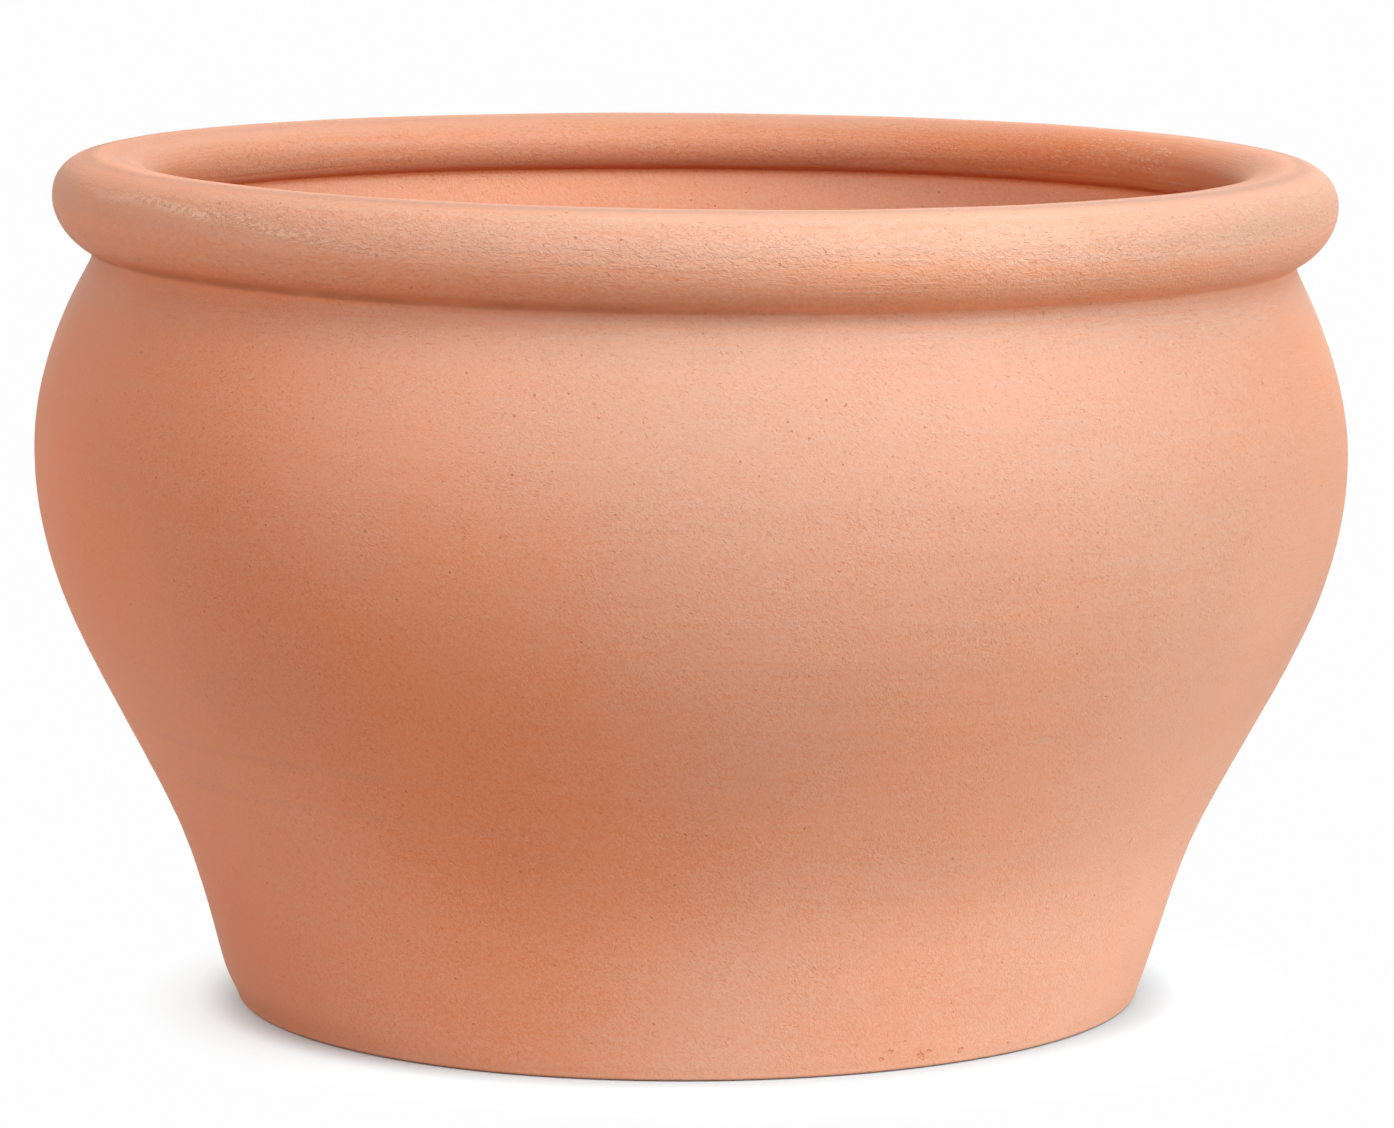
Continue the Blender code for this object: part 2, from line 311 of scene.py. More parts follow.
def wall_point(height, depth=0.0):
    """The point, as (radius, height), that lies in the wall at a depth square to the outer surface."""
    radius, flare = outer_line(height)
    length = math.hypot(1.0, flare)
    return radius - depth / length, height + depth * flare / length


def facing_height(height):
    """The height on the outer line that faces a height on the inner surface, straight through the wall."""
    low, high = 0.0, NECK[0]
    for _ in range(40):
        middle = (low + high) / 2
        if wall_point(middle, WALL_THICKNESS)[1] < height:
            low = middle
        else:
            high = middle
    return low


def inner_radius(height):
    """Radius of the inner surface at a height."""
    return wall_point(facing_height(height), WALL_THICKNESS)[0]


def evenly(start, end, step):
    """Values from start to end at about the given step, without the first."""
    count = max(1, math.ceil(abs(end - start) / step))
    return [start + (end - start) * i / count for i in range(1, count + 1)]


def straight(start, end, step):
    """Points on the straight line from start to end, without the first."""
    shares = evenly(0.0, 1.0, step / max(math.dist(start, end), 1e-6))
    return [(start[0] + (end[0] - start[0]) * s, start[1] + (end[1] - start[1]) * s) for s in shares]


def arc(centre, reach, rise, start, turned, step, power=2.0):
    """Part of a superellipse from the angle start on, in degrees, without its first point."""
    points = []
    for angle in evenly(start, start + turned, step / max(abs(reach), abs(rise)) * ARC_DEGREES):
        across, along = math.cos(math.radians(angle)), math.sin(math.radians(angle))
        radius = centre[0] + reach * math.copysign(abs(across) ** (2 / power), across)
        height = centre[1] + rise * math.copysign(abs(along) ** (2 / power), along)
        points.append((radius, height))
    return points


def keyed_seam(outer, inner):
    """The line across the wall from its outer to its inner surface, with a V-shaped key at its middle."""
    length = math.dist(outer, inner)
    along = ((inner[0] - outer[0]) / length, (inner[1] - outer[1]) / length)
    up = (along[1], -along[0])
    offsets = [((length - KEY_WIDTH) / 2, 0.0), (length / 2, -KEY_DEPTH), ((length + KEY_WIDTH) / 2, 0.0)]
    return [
        (outer[0] + along[0] * across + up[0] * rise, outer[1] + along[1] * across + up[1] * rise)
        for across, rise in offsets
    ]


def soften(points, corner, reach, passes):
    """Rounds the outline round one corner by moving each point there towards its neighbours' middle."""
    near = np.clip(1.5 - np.hypot(*(points - corner).T) / reach, 0.0, 1.0)[:, None]
    for _ in range(passes):
        middle = (np.roll(points, 1, 0) + np.roll(points, -1, 0)) / 2
        points = points + (middle - points) * near * 0.5
    return points


def whole_skin():
    """The pot's whole section, run from the drain hole out, over the rim and down inside, and its marks.

    Gives the points, as rows of radius and height, and the index of each place where a piece ends.
    """
    foot_corner = (outer_line(FOOT_ROUND)[0] - FOOT_ROUND, FOOT_ROUND)
    under_centre = RIM_WIDEST[0] - RIM_UNDER_REACH
    under_cosine = ((CREASE_RADIUS - under_centre) / RIM_UNDER_REACH) ** (RIM_UNDER_SQUARENESS / 2)
    under_turn = math.degrees(math.acos(under_cosine))
    under_sine = math.sin(math.radians(under_turn)) ** (2 / RIM_UNDER_SQUARENESS)
    under_rise = (RIM_WIDEST[1] - CREASE_HEIGHT) / under_sine
    coil_top = FLOOR_THICKNESS + COIL_RADIUS
    floor_edge = inner_radius(coil_top) - COIL_EDGE - COIL_RADIUS
    coil_edge = (floor_edge + COIL_RADIUS, coil_top)
    drain_edge = DRAIN_RADIUS + DRAIN_ROUND
    throat = wall_point(NECK[0], WALL_THICKNESS)
    points, marks = [(drain_edge, 0.0)], {}

    def run(new, mark=None):
        points.extend(new)
        if mark:
            marks[mark] = len(points) - 1

    def line(end, step):
        run(straight(points[-1], end, STEP[step]))

    def curve(centre, reach, rise, start, turned, step, mark=None, power=2.0):
        run(arc(centre, reach, rise, start, turned, STEP[step], power), mark)

    def wall(start, end, step, mark=None, depth=0.0):
        run([wall_point(z, depth) for z in evenly(start, end, STEP[step])], mark)

    line((foot_corner[0], 0.0), "underside")
    curve(foot_corner, FOOT_ROUND, FOOT_ROUND, -90, 90, "foot edge")
    wall(FOOT_ROUND, LEDGE_HEIGHT, "slab", "slab_out")
    wall(LEDGE_HEIGHT, LUTING_HEIGHT, "lower wall", "luting_out")
    wall(LUTING_HEIGHT, NECK_STARTS, "upper wall")
    wall(NECK_STARTS, CREASE_HEIGHT, "neck", "crease_out")
    under, top = (under_centre, RIM_WIDEST[1]), (CREST[0], RIM_WIDEST[1])
    curve(under, RIM_UNDER_REACH, under_rise, -under_turn, under_turn, "rim", power=RIM_UNDER_SQUARENESS)
    reach, rise = RIM_WIDEST[0] - CREST[0], CREST[1] - RIM_WIDEST[1]
    curve(top, reach, rise, 0, 90, "rim", power=RIM_SQUARENESS)
    reach, rise = CREST[0] - MOUTH[0], CREST[1] - MOUTH[1]
    curve((CREST[0], MOUTH[1]), reach, rise, 90, 90, "rim", power=RIM_SQUARENESS)
    reach, rise = INNER_CREASE[0] - MOUTH[0], MOUTH[1] - INNER_CREASE[1]
    curve((INNER_CREASE[0], MOUTH[1]), reach, rise, 180, 90, "rim", "crease_in")
    line(throat, "throat")
    wall(NECK[0], LUTING_HEIGHT, "inside", "luting_in", WALL_THICKNESS)
    wall(LUTING_HEIGHT, facing_height(coil_top), "inside low", "coil_top", WALL_THICKNESS)
    run([coil_edge])
    curve((floor_edge, coil_top), COIL_RADIUS, COIL_RADIUS, 0, -90, "coil", "coil_floor")
    line((drain_edge, FLOOR_THICKNESS), "floor")
    curve((drain_edge, FLOOR_THICKNESS - DRAIN_ROUND), DRAIN_ROUND, DRAIN_ROUND, 90, 90, "drain edge")
    line((DRAIN_RADIUS, DRAIN_ROUND), "drain")
    curve((drain_edge, DRAIN_ROUND), DRAIN_ROUND, DRAIN_ROUND, 180, 89, "drain edge")

    skin = np.array(points)
    for corner, reach, passes in (
        ((CREASE_RADIUS, CREASE_HEIGHT), 0.0042, 12),
        (INNER_CREASE, 0.0030, 3),
        (throat, 0.010, 5),
        (coil_edge, 0.006, 3),
    ):
        skin = soften(skin, corner, reach, passes)
    return skin, marks


SKIN, MARKS = whole_skin()
ALONG = np.concatenate([[0.0], np.cumsum(np.hypot(*np.diff(SKIN, axis=0).T))])


def along_at(mark):
    """How far along the skin a mark lies."""
    return float(ALONG[MARKS[mark]])


def along_between(height, first, last):
    """How far along the skin a height lies, on a rising stretch of it between two indices."""
    return float(np.interp(height, SKIN[first:last, 1], ALONG[first:last]))


def eased(start, end, value):
    """0 up to the start and 1 from the end on, with soft ends."""
    share = np.clip((value - start) / (end - start + 1e-9), 0.0, 1.0)
    return share * share * (3 - 2 * share)


def nearness(points, place, reach):
    """1 at a place on the outline, falling to 0 beyond its reach."""
    return np.exp(-((np.hypot(*(points - place).T) / reach) ** 2))


def skin_marks():
    """What the clay is like at each point of the skin, by name."""
    ahead, behind = np.roll(SKIN, -1, 0), np.roll(SKIN, 1, 0)
    run = ahead - behind
    run /= np.hypot(*run.T)[:, None]
    height, index = SKIN[:, 1], np.arange(len(SKIN))
    inside = np.clip((index - MARKS["crease_in"]) / CREASE_STEPS + 0.5, 0, 1)
    standing = np.clip((height - FOOT_ROUND) / RELIEF_STARTS, 0, 1)
    lighter, paler = np.zeros(len(SKIN)), np.zeros(len(SKIN))
    # The bands of painted light and shade along the skin.
    for start, full, ending, end, more_light, more_pale in SKIN_TONES.values():
        share = eased(start, full, ALONG) * (1 - eased(ending, end, ALONG))
        lighter += share * more_light
        paler += share * more_pale
    coil_foot = nearness(SKIN, SKIN[MARKS["coil_floor"]], 0.008)
    rubbed = nearness(SKIN, (outer_line(0.0)[0] - 0.001, 0.0015), 0.0024)
    rubbed = np.maximum(rubbed, 0.7 * nearness(SKIN, (CREST[0] + 0.004, CREST[1]), 0.005))
    return {
        "along": ALONG,
        "push_out": run[:, 1],
        "push_up": -run[:, 0],
        "relief": np.where(inside > 0.5, np.maximum(standing, RELIEF_INSIDE), standing),
        "lighter": lighter,
        "paler": paler - 0.3 * coil_foot,
        "rubbed": rubbed,
    }


SKIN_MARKS = skin_marks()


def outline(runs):
    """A closed outline with its marks, from parts of the skin and hidden lines between them.

    A part of the skin is a pair of indices, and a hidden line a list of points.
    """
    points, marks = [], {name: [] for name in SKIN_MARKS}
    for part in runs:
        if isinstance(part, tuple):
            first, last = part
            points.extend(SKIN[first : last + 1].tolist())
            for name, values in SKIN_MARKS.items():
                marks[name].extend(values[first : last + 1].tolist())
        else:
            points.extend(part)
            for name in marks:
                marks[name].extend([0.0] * len(part))
    return points, marks


def piece_outlines():
    """The outline of each clay piece: its stretch of the skin, closed with the seams that it shares."""
    at = {name: tuple(SKIN[index]) for name, index in MARKS.items()}
    ledge_in = (inner_radius(LEDGE_HEIGHT), LEDGE_HEIGHT)
    floor_edge = at["coil_floor"][0]
    slab_seam = keyed_seam(at["slab_out"], ledge_in) + [ledge_in]
    luting = keyed_seam(at["luting_out"], at["luting_in"])
    bevel = straight(at["crease_out"], at["crease_in"], STEP["bevel"])[:-1]
    behind_coil = evenly(at["coil_top"][1], LEDGE_HEIGHT, STEP["coil back"])[:-1]
    coil_back = [(inner_radius(z), z) for z in behind_coil]
    under_coil = [(floor_edge, LEDGE_HEIGHT)]
    last = len(SKIN) - 1
    return {
        "slab": [(MARKS["coil_floor"], last), (0, MARKS["slab_out"]), slab_seam + under_coil],
        "coil": [(MARKS["coil_top"], MARKS["coil_floor"]), under_coil + [ledge_in] + coil_back[::-1]],
        "lower_wall": [
            (MARKS["slab_out"], MARKS["luting_out"]), luting,
            (MARKS["luting_in"], MARKS["coil_top"]), coil_back + slab_seam[::-1],
        ],
        "upper_wall": [
            (MARKS["luting_out"], MARKS["crease_out"]), bevel,
            (MARKS["crease_in"], MARKS["luting_in"]), luting[::-1],
        ],
        "rim": [(MARKS["crease_out"], MARKS["crease_in"]), bevel[::-1]],
    }


# Nodes.

NUMBER = "NodeSocketFloat"
WHOLE = "NodeSocketInt"
PLACE = "NodeSocketVector"
COLOUR = "NodeSocketColor"
SHAPE = "NodeSocketGeometry"
FINISH = "NodeSocketMaterial"


class Value:
    """One output of a node. Math nodes add, subtract, multiply or divide it with another or with a number."""

    def __init__(self, socket):
        self.socket = socket

    def __add__(self, other):
        return calc("ADD", self, other)

    def __sub__(self, other):
        return calc("SUBTRACT", self, other)

    def __rsub__(self, other):
        return calc("SUBTRACT", other, self)

    def __mul__(self, other):
        return calc("MULTIPLY", self, other)

    def __truediv__(self, other):
        return calc("DIVIDE", self, other)

    def __rtruediv__(self, other):
        return calc("DIVIDE", other, self)


class Outputs:
    """The outputs of a node, each found by its name or its number."""

    def __init__(self, node):
        self.node = node

    def __getitem__(self, label):
        return Value(self.node.outputs[label])


def feed(socket, value):
    """Gives an input a link from a value, or a plain setting."""
    if isinstance(value, Value):
        socket.id_data.links.new(value.socket, socket)
    else:
        socket.default_value = value


def tree_of(*values):
    """The node tree that the values stand in."""
    return next(value.socket.id_data for value in values if isinstance(value, Value))


def place(tree, kind, inputs=None, **settings):
    """Adds a node with its settings and inputs, and gives its outputs."""
    node = tree.nodes.new(kind)
    for name, value in settings.items():
        setattr(node, name, value)
    for name, value in (inputs or {}).items():
        feed(node.inputs[name], value)
    return Outputs(node)


def calc(operation, *values, clamp=False):
    """The result of a Math node."""
    settings = {"operation": operation, "use_clamp": clamp}
    return place(tree_of(*values), "ShaderNodeMath", dict(enumerate(values)), **settings)[0]


def vector_calc(operation, *values):
    """The result of a Vector Math node."""
    made = place(tree_of(*values), "ShaderNodeVectorMath", dict(enumerate(values)), operation=operation)
    return made["Value" if operation in ("LENGTH", "DISTANCE", "DOT_PRODUCT") else "Vector"]


def stretched(vector, by):
    """A vector times a number."""
    return place(tree_of(vector), "ShaderNodeVectorMath", {0: vector, "Scale": by}, operation="SCALE")[0]


def split(vector):
    """The three parts of a vector."""
    parts = place(tree_of(vector), "ShaderNodeSeparateXYZ", {"Vector": vector})
    return parts["X"], parts["Y"], parts["Z"]


def joined(x=0.0, y=0.0, z=0.0):
    """A vector from its three parts."""
    return place(tree_of(x, y, z), "ShaderNodeCombineXYZ", {"X": x, "Y": y, "Z": z})["Vector"]


def ramp(value, low, high, to_low=0.0, to_high=1.0, kind="SMOOTHSTEP"):
    """A value taken from one range to another, and held at its ends."""
    names = {"Value": value, "From Min": low, "From Max": high, "To Min": to_low, "To Max": to_high}
    return place(tree_of(value), "ShaderNodeMapRange", names, interpolation_type=kind)["Result"]


def noise(vector, scale=1.0, detail=2.0, roughness=0.5, distortion=0.0):
    """A noise value that is 0 in the mean, and about 0.5 at most."""
    names = {"Vector": vector, "Scale": scale, "Detail": detail, "Roughness": roughness}
    return place(tree_of(vector), "ShaderNodeTexNoise", {**names, "Distortion": distortion})[0] - 0.5


def blend(factor, first, second, kind="MIX"):
    """Two colours mixed."""
    names = {0: factor, 6: first, 7: second}
    return place(tree_of(factor, first), "ShaderNodeMix", names, data_type="RGBA", blend_type=kind)[2]


def kind_of(start):
    """The kind of socket that a starting value needs, or the kind itself."""
    if isinstance(start, tuple):
        return PLACE if len(start) == 3 else COLOUR
    return {str: start, int: WHOLE, float: NUMBER}[type(start)]


def new_group(name, kind, inputs):
    """A node group and its inputs, each named and given by its kind alone or by the value it starts with."""
    tree = bpy.data.node_groups.new(name, kind)
    for label, start in inputs.items():
        socket = tree.interface.new_socket(label, in_out="INPUT", socket_type=kind_of(start))
        if not isinstance(start, str):
            socket.default_value = start
    return tree, place(tree, "NodeGroupInput")


def surface_group(name, inputs):
    """A node group for an effect on the clay's surface, with the point that it looks at."""
    tree, given = new_group(name, "ShaderNodeTree", {"Coordinates": PLACE, **inputs})
    return tree, given, given["Coordinates"]


def put_out(tree, kind=NUMBER, **results):
    """Gives a node group its results as named outputs."""
    for label in results:
        tree.interface.new_socket(label, in_out="OUTPUT", socket_type=kind)
    node = tree.nodes.new("NodeGroupOutput")
    for label, value in results.items():
        feed(node.inputs[label], value)
    return tree


# Turning the clay.


def turned_clay_tree():
    """Turns an outline about the axis, and gives it the marks and the uneven shape of hand work."""
    tree, given = new_group(
        "turned clay",
        "GeometryNodeTree",
        {
            "Outline": SHAPE, "Clay": FINISH, "Steps Round": 640, "Path Radius": PATH_RADIUS, "Seed": 3.0,
            "Lean": LEAN, "Rim Shift": RIM_SHIFT, "Out Of Round": OUT_OF_ROUND, "Foot Scuff": FOOT_SCUFF,
            "Rim Wave One": RIM_WAVE[0], "Phase One": RIM_WAVE[1],
            "Rim Wave Two": RIM_WAVE[2], "Phase Two": RIM_WAVE[3],
            "Ring Spacing": 0.0075, "Ring Depth": 0.00010, "Lump Size": 0.055, "Lump Depth": 0.00045,
        },
    )
    profile = place(tree, "GeometryNodeMeshToCurve", {"Mesh": given["Outline"]})["Curve"]
    sizes = {"Resolution": given["Steps Round"], "Radius": given["Path Radius"]}
    circle = place(tree, "GeometryNodeCurvePrimitiveCircle", sizes)["Curve"]
    path = place(tree, "GeometryNodeSetCurveNormal", {"Curve": circle}, mode="Z_UP")["Curve"]
    swept = place(tree, "GeometryNodeCurveToMesh", {"Curve": path, "Profile Curve": profile})["Mesh"]

    def mark(name):
        return place(tree, "GeometryNodeInputNamedAttribute", {"Name": name}, data_type="FLOAT")["Attribute"]

    point = place(tree, "GeometryNodeInputPosition")["Position"]
    x, y, z = split(point)
    flat = joined(x, y)
    outward = vector_calc("NORMALIZE", flat)
    radius = vector_calc("LENGTH", flat)
    turn = calc("ARCTAN2", y, x)

    # The wheel's rings and the hand's lumps push the skin square to itself.
    rings_at = joined(given["Seed"], 0.0, mark("along") / given["Ring Spacing"])
    rings = noise(vector_calc("ADD", stretched(flat, RING_DRIFT), rings_at), detail=1.0) * 2.0
    size = given["Lump Size"]
    lumps_at = vector_calc("DIVIDE", point, joined(size, size, size))
    lumps = noise(vector_calc("ADD", lumps_at, joined(0.0, given["Seed"])), detail=1.0)
    relief = mark("relief") * (rings * given["Ring Depth"] + lumps * given["Lump Depth"])
    push = vector_calc("ADD", stretched(outward, mark("push_out")), joined(0.0, 0.0, mark("push_up")))
    moved = vector_calc("ADD", point, stretched(push, relief))

    # The wall is a little oval and three-sided, more so further up.
    oval = calc("COSINE", turn * 2.0 + OVAL_PHASE)
    uneven = calc("COSINE", turn * 3.0 + THREE_PHASE) * 0.5 + oval
    uneven = uneven * (given["Out Of Round"] * radius) * ramp(z, *OVAL_LEVELS)
    moved = vector_calc("ADD", moved, stretched(outward, uneven))

    # The foot is worn in on its left.
    worn = ramp(calc("COSINE", turn), *SCUFF_SIDE) * ramp(z, *SCUFF_LEVELS)
    worn = worn * ramp(radius, FOOT[1] - SCUFF_REACH, FOOT[1]) * given["Foot Scuff"]
    moved = vector_calc("SUBTRACT", moved, stretched(outward, worn))

    # The rim waves up and down.
    wave = calc("COSINE", turn - given["Phase One"]) * given["Rim Wave One"]
    wave = calc("COSINE", turn * 2.0 - given["Phase Two"]) * given["Rim Wave Two"] + wave
    moved = vector_calc("ADD", moved, joined(0.0, 0.0, wave * ramp(z, *WAVE_LEVELS)))

    # The axis leans over a foot that stays flat.
    x, y, z = split(moved)
    leant = z * given["Lean"] + x + given["Rim Shift"] * ramp(z, *SHIFT_LEVELS)
    level = z - x * given["Lean"] * ramp(z, *TIP_LEVELS)
    final = joined(leant, y, level)
    shaped = place(tree, "GeometryNodeSetPosition", {"Geometry": swept, "Position": final})[0]
    real = place(tree, "GeometryNodeRealizeInstances", {"Geometry": shaped})[0]
    painted = place(tree, "GeometryNodeSetMaterial", {"Geometry": real, "Material": given["Clay"]})[0]
    return put_out(tree, SHAPE, Turned=painted)


def added(name, data):
    """A new object in the scene."""
    made = bpy.data.objects.new(name, data)
    bpy.context.scene.collection.objects.link(made)
    return made


def baked(name, start, tree, values):
    """The plain mesh object that a node tree makes of a start mesh."""
    source = added(name + "_start", start)
    modifier = source.modifiers.new("made by nodes", "NODES")
    modifier.node_group = tree
    identifiers = {item.name: item.identifier for item in tree.interface.items_tree if item.in_out == "INPUT"}
    for label, value in values.items():
        modifier[identifiers[label]] = value
    depsgraph = bpy.context.evaluated_depsgraph_get()
    mesh = bpy.data.meshes.new_from_object(
        source.evaluated_get(depsgraph), preserve_all_data_layers=True, depsgraph=depsgraph
    )
    bpy.data.objects.remove(source)
    mesh.name = name
    return added(name, mesh)


def volume(mesh):
    """Signed volume inside a closed mesh."""
    solid = bmesh.new()
    solid.from_mesh(mesh)
    inside = solid.calc_volume(signed=True)
    solid.free()
    return inside


def turned_piece(tree, node, part, material, **work):
    """One clay piece, turned from its part of the skin, in place of its solid in the frame."""
    name, slot_name = node + "_fired", part + "_clay"
    points, marks = outline(piece_outlines()[part])
    start = bpy.data.meshes.new(name + "_outline")
    count = len(points)
    start.from_pydata(
        [(radius - PATH_RADIUS, -height, 0.0) for radius, height in points],
        [(i, (i + 1) % count) for i in range(count)],
        [],
    )
    for label, values in marks.items():
        start.attributes.new(label, "FLOAT", "POINT").data.foreach_set("value", values)
    values = {"Steps Round": STEPS_ROUND[part], "Clay": material}
    values.update({label.replace("_", " ").title(): value for label, value in work.items()})
    piece = baked(name, start, tree, values)
    if volume(piece.data) < 0:
        piece.data.flip_normals()
    piece.data.shade_smooth()
    piece.data.set_sharp_from_angle(angle=math.radians(SHARP_FROM))
    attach(piece, "root")
    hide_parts(node)
    return piece


# Surface effects that several clays share.


def clay_tone_group():
    """Uneven colour of fired clay: pale or deep where it is told to be, which carries the painted light and
    shade, with blotches and mottles at random.
    """
    colours = {"Clay": CLAY, "Pale Clay": PALE_CLAY, "Deep Clay": DEEP_CLAY}
    tree, given, point = surface_group(
        "clay tone", {**colours, "Paler": 0.0, "Lighter": 0.0, "Blotch": 0.5, "Mottle": 0.30}
    )
    tone = given["Paler"]
    for label, scale, detail in (("Blotch", 13.0, 3.0), ("Mottle", 110.0, 2.0)):
        tone = noise(point, scale, detail, 0.55) * given[label] + tone
    colour = blend(calc("MULTIPLY", tone, 1.0, clamp=True), given["Clay"], given["Pale Clay"])
    colour = blend(calc("MULTIPLY", tone, -1.0, clamp=True), colour, given["Deep Clay"])
    light = given["Lighter"] + 1.0
    return put_out(tree, COLOUR, Colour=blend(1.0, colour, joined(light, light, light), "MULTIPLY"))


def light_or_slip_place_group():
    """A soft-edged place on the pot, where light and shade are painted into the clay, or where slip and lime
    lie.
    """
    tree, given, point = surface_group("light or slip place", {"Centre": (0.0, 0.0, 0.0), "Reach": 0.10})
    away = vector_calc("DISTANCE", point, given["Centre"])
    return put_out(tree, Mark=ramp(away / given["Reach"], 1.0, 0.0))


def sand_grain_group():
    """The sandy skin of coarse clay, raised in small crooked islands, and the small open pits in it."""
    tree, given, point = surface_group(
        "sand grain",
        {
            "Grain Size": 0.0007, "Grain Depth": 0.000018, "Crispness": 0.14, "Stretch": 1.2, "Slant": 0.5,
            "Patches": 1.0, "Pit Spacing": 0.0048, "Pit Share": 0.45, "Pit Depth": 0.00020,
        },
    )
    x, y, z = split(point)
    rate = 1.0 / given["Grain Size"]
    wide = rate / given["Stretch"]
    level = (x + y) * given["Slant"] + z
    fine = noise(joined(x * wide, y * wide, level * rate), roughness=0.6, distortion=1.1)
    grain = ramp(fine / given["Crispness"], -1.0, 1.0, -1.0, 1.0) * given["Patches"]
    lay = {"Vector": point, "Scale": 1.0 / given["Pit Spacing"]}
    cells = place(tree, "ShaderNodeTexVoronoi", lay, feature="F1")
    chance = place(tree, "ShaderNodeSeparateColor", {"Color": cells["Color"]})
    chosen = calc("LESS_THAN", chance["Red"], given["Pit Share"])
    size = ramp(chance["Green"], 0.0, 1.0, *PIT_SIZES, kind="LINEAR")
    pit = ramp((fine * PIT_RAG + cells["Distance"]) / size, *PIT_WALL) * chosen
    pit = calc("MAXIMUM", pit, ramp(fine, *FLECKS))
    height = grain * given["Grain Depth"] - pit * given["Pit Depth"]
    return put_out(tree, Height=height, Pits=pit, Grain=grain)


def turning_lines_group():
    """The fine lines that fingers, rib and wet brush leave round a pot on the wheel."""
    tree, given, point = surface_group(
        "turning lines", {"Along": 0.0, "Line Spacing": 0.0012, "Line Depth": 0.00004, "Patchiness": 0.6}
    )
    x, y, _ = split(point)
    lines = []
    for spread, coarseness, share in ((26.0, 1.0, 1.1), (11.0, 3.2, 0.9)):
        upright = given["Along"] / (given["Line Spacing"] * coarseness)
        lines.append(noise(joined(x * spread, y * spread, upright), roughness=0.6) * share)
    patches = ramp(noise(point, 22.0, 1.0), -0.15, 0.15)
    total = (lines[0] + lines[1]) * (1.0 - patches * given["Patchiness"])
    return put_out(tree, Height=total * given["Line Depth"], Lines=total)


def tool_line_group():
    """A line that a tool has run round the pot at one level, over part of the way round."""
    tree, given, point = surface_group(
        "tool line",
        {
            "Along": 0.0, "Wander": 0.0, "Level": 0.0, "Width": 0.0008, "Waver": 0.0006,
            "Facing": (0.0, -1.0, 0.0), "Facing Width": 2.0,
        },
    )
    level = given["Wander"] * given["Waver"] + given["Level"]
    share = calc("ABSOLUTE", given["Along"] - level) / given["Width"]
    x, y, _ = split(point)
    facing = vector_calc("DOT_PRODUCT", vector_calc("NORMALIZE", joined(x, y)), given["Facing"])
    edge = 1.0 - given["Facing Width"]
    shown = ramp(facing, edge, edge + FACING_EASE)
    ridge = ramp(share, 1.0, 0.0, kind="LINEAR")
    return put_out(tree, Line=ramp(share, 1.0, 0.0) * shown, Ridge=ridge * shown)


def knock_group():
    """One chip or knock: a ragged hollow at one place."""
    tree, given, point = surface_group(
        "knock", {"Rag": 0.0, "Centre": (0.0, 0.0, 0.0), "Size": 0.003, "Flatness": 1.0, "Raggedness": 0.6}
    )
    x, y, z = split(vector_calc("SUBTRACT", point, given["Centre"]))
    share = vector_calc("LENGTH", joined(x, y, z * given["Flatness"])) / given["Size"]
    return put_out(tree, Knock=ramp(given["Rag"] * given["Raggedness"] + share, 1.0, 0.6))


def dragged_slip_group():
    """Wet clay that was dragged round the pot and has dried in small raised, ragged ridges."""
    tree, given, point = surface_group(
        "dragged slip",
        {
            "Along": 0.0, "Lower Edge": 0.0, "Upper Edge": 1.0, "Edge Softness": 0.0020, "Size": 0.0013,
            "Stretch": 2.4, "Slant": 0.4, "Cover": 0.5,
        },
    )
    x, y, _ = split(point)
    along = given["Along"]
    rate = 1.0 / given["Size"]
    wide = rate / given["Stretch"]
    leaning = along * given["Slant"] + x
    ragged = noise(joined(leaning * wide, y * wide, along * rate), roughness=0.55, distortion=0.6)
    patches = noise(point, 34.0)
    needed = patches * -0.45 + (0.28 - given["Cover"] * 0.5)
    ridges = ramp(ragged - needed, 0.0, 0.06)
    level = along + patches * SLIP_WAVER
    low = ramp((level - given["Lower Edge"]) / given["Edge Softness"], 0.0, 1.0)
    high = ramp((given["Upper Edge"] - level) / given["Edge Softness"], 0.0, 1.0)
    return put_out(tree, Slip=ridges * (low * high))


def lime_bloom_group():
    """A pale film of lime that has dried in wiped streaks."""
    tree, given, point = surface_group(
        "lime bloom",
        {"Along": 0.0, "Centre": (0.0, 0.0, 0.0), "Reach": 0.05, "Streak Width": 0.0025, "Cover": 0.4},
    )
    x, y, _ = split(point)
    wiped = joined(x * STREAK_RATE, y * STREAK_RATE, given["Along"] / given["Streak Width"])
    streaks = noise(wiped, detail=3.0, roughness=0.6, distortion=0.4)
    away = vector_calc("DISTANCE", point, given["Centre"])
    reached = ramp(away / given["Reach"], 1.0, 0.25)
    over = streaks - (0.30 - reached * given["Cover"])
    return put_out(tree, Bloom=ramp(over, 0.0, 0.22) * reached)


TONE = clay_tone_group()
LIGHT_OR_SLIP_PLACE = light_or_slip_place_group()
SAND = sand_grain_group()
LINES = turning_lines_group()
TOOL_LINE = tool_line_group()
KNOCK = knock_group()
SLIP = dragged_slip_group()
BLOOM = lime_bloom_group()


# Clays.


